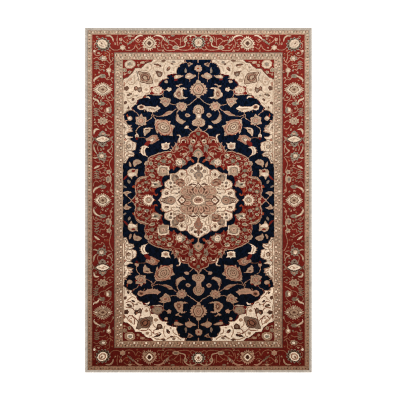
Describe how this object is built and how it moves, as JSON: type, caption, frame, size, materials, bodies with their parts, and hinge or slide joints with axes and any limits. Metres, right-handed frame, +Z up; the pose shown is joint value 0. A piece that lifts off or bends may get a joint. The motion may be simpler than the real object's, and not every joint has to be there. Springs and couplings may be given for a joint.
{
  "type": "area rug",
  "caption": "Rectangular tufted area rug with a lobed centre medallion, corner spandrels, patterned borders and guard stripes, and a serged edge.",
  "frame": {"origin": "centre of the rug's underside, on the floor", "axes": "+Y along the rug's length, +X across its width, +Z up out of the pile"},
  "size_m": [1.6, 2.433, 0.012],
  "materials": {
    "navy_wool": "matt cut wool pile, dark navy, with flowers and stems in other yarns",
    "red_wool": "matt cut wool pile, brick red, with flowers and vines in other yarns",
    "ivory_wool": "matt cut wool pile, warm ivory, with brown leaves and outlines",
    "beige_wool": "matt cut wool pile, mixed beiges in a small repeating figure",
    "rose_wool": "matt cut wool pile, dusty rose and tan petals outlined in brown",
    "serging_yarn": "wrapped greige yarn, slight sheen along each turn",
    "cord_cotton": "undyed twisted cotton cord",
    "canvas_cotton": "undyed plain-woven canvas",
    "latex": "dried cream latex, matt, slightly uneven",
    "scrim_cotton": "open undyed leno scrim, matt"
  },
  "bodies": {
    "root": {"centre_rosette": "rose_wool", "corner_spandrel_left_foot": "ivory_wool", "corner_spandrel_left_head": "ivory_wool", "corner_spandrel_right_foot": "ivory_wool", "corner_spandrel_right_head": "ivory_wool", "corner_triangle_left_foot": "red_wool", "corner_triangle_left_head": "red_wool", "corner_triangle_right_foot": "red_wool", "corner_triangle_right_head": "red_wool", "edge_cord_foot": "cord_cotton", "edge_cord_head": "cord_cotton", "edge_cord_left": "cord_cotton", "edge_cord_right": "cord_cotton", "field_ground": "navy_wool", "inner_guard_foot": "beige_wool", "inner_guard_head": "beige_wool", "inner_guard_left": "beige_wool", "inner_guard_right": "beige_wool", "latex_coat": "latex", "main_border_foot": "red_wool", "main_border_head": "red_wool", "main_border_left": "red_wool", "main_border_right": "red_wool", "medallion_centre": "ivory_wool", "medallion_ground": "red_wool", "medallion_inner_ring": "navy_wool", "outer_guard_foot": "beige_wool", "outer_guard_head": "beige_wool", "outer_guard_left": "beige_wool", "outer_guard_right": "beige_wool", "primary_backing": "canvas_cotton", "secondary_backing": "scrim_cotton", "serging_foot": "serging_yarn", "serging_head": "serging_yarn", "serging_left": "serging_yarn", "serging_right": "serging_yarn", "side_ornament_left_foot": "ivory_wool", "side_ornament_left_head": "ivory_wool", "side_ornament_right_foot": "ivory_wool", "side_ornament_right_head": "ivory_wool"}
  },
  "joints": []
}
